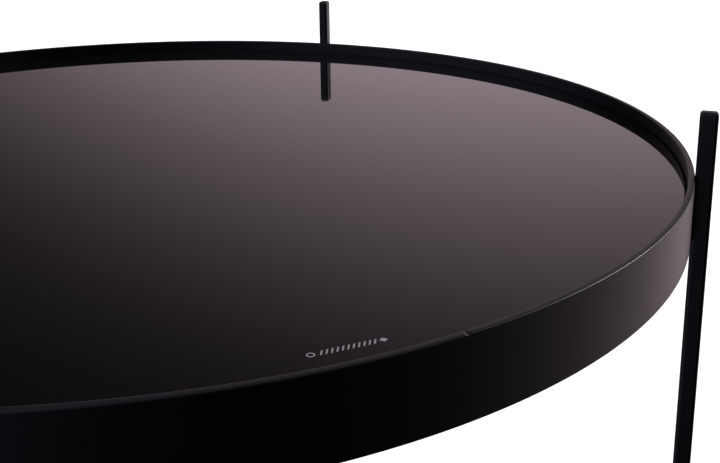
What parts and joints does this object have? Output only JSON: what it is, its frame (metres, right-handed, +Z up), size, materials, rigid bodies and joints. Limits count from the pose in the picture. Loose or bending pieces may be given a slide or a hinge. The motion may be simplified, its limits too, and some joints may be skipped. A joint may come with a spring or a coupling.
{
  "type": "nesting tray table",
  "caption": "Low round tray table with a recessed black glass top in a flat steel rim, on slim bar legs that rise above it.",
  "frame": {"origin": "on the floor, under the middle of the table", "axes": "+Z up along the table's axis; the legs stand on the diagonals between X and Y"},
  "size_m": [0.6999, 0.7, 0.44],
  "materials": {
    "powder_coated_steel": "fine satin black powder coat",
    "black_glass": "polished black tempered glass",
    "silicone_pad": "clear soft silicone",
    "nylon_foot": "moulded black nylon",
    "zinc_plated_steel": "bright zinc plate"
  },
  "bodies": {
    "frame": {"rim_band": "powder_coated_steel", "seat_ring": "powder_coated_steel", "seat_weld_beads": "powder_coated_steel", "glass_pads": "silicone_pad", "leg_front_right": "powder_coated_steel", "foot_front_right": "nylon_foot", "screws_front_right": "zinc_plated_steel", "spring_washers_front_right": "zinc_plated_steel", "flat_washers_front_right": "zinc_plated_steel", "leg_rear_right": "powder_coated_steel", "foot_rear_right": "nylon_foot", "screws_rear_right": "zinc_plated_steel", "spring_washers_rear_right": "zinc_plated_steel", "flat_washers_rear_right": "zinc_plated_steel", "leg_rear_left": "powder_coated_steel", "foot_rear_left": "nylon_foot", "screws_rear_left": "zinc_plated_steel", "spring_washers_rear_left": "zinc_plated_steel", "flat_washers_rear_left": "zinc_plated_steel", "leg_front_left": "powder_coated_steel", "foot_front_left": "nylon_foot", "screws_front_left": "zinc_plated_steel", "spring_washers_front_left": "zinc_plated_steel", "flat_washers_front_left": "zinc_plated_steel"},
    "glass": {"glass_top": "black_glass"}
  },
  "joints": [
    {"name": "glass_lift", "type": "slide", "parent": "frame", "child": "glass", "axis": [0, 0, 1], "range_m": [0, 0.06]}
  ]
}
